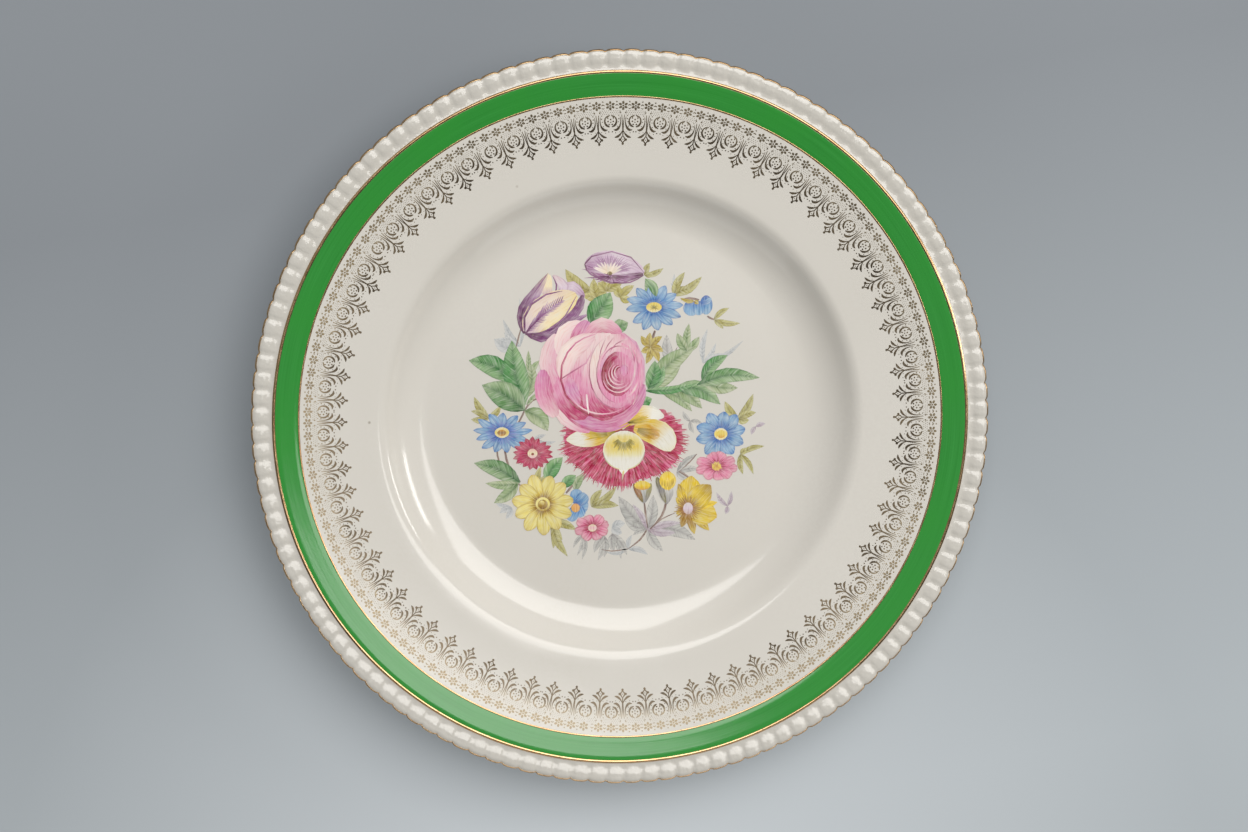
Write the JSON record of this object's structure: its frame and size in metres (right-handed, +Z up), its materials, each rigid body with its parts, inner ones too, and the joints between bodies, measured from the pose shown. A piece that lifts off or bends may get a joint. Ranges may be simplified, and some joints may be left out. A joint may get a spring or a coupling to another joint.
{
  "type": "china dinner plate",
  "caption": "Round dinner plate with a gadrooned gilt edge, a green rim band, a gold filigree border and an enamelled bouquet in the well.",
  "frame": {"origin": "centre of the plane that the foot ring rests on", "axes": "+Z up along the plate's axis, out of the well; +Y towards the top of the bouquet; +X to its right"},
  "size_m": [0.26, 0.26, 0.0244],
  "materials": {
    "ivory_glaze": "glossy ivory glaze",
    "gold": "burnished bright gold, fired on",
    "green_enamel": "glossy apple-green enamel",
    "gold_print": "printed gold, slightly dull",
    "floral_enamel": "painted overglaze enamels, satin to glossy"
  },
  "bodies": {
    "root": {"plate_body": "ivory_glaze", "rim_gilding": "gold", "outer_gold_line": "gold", "green_band": "green_enamel", "inner_gold_line": "gold", "lace_border": "gold_print", "floral_transfer": "floral_enamel"}
  },
  "joints": []
}
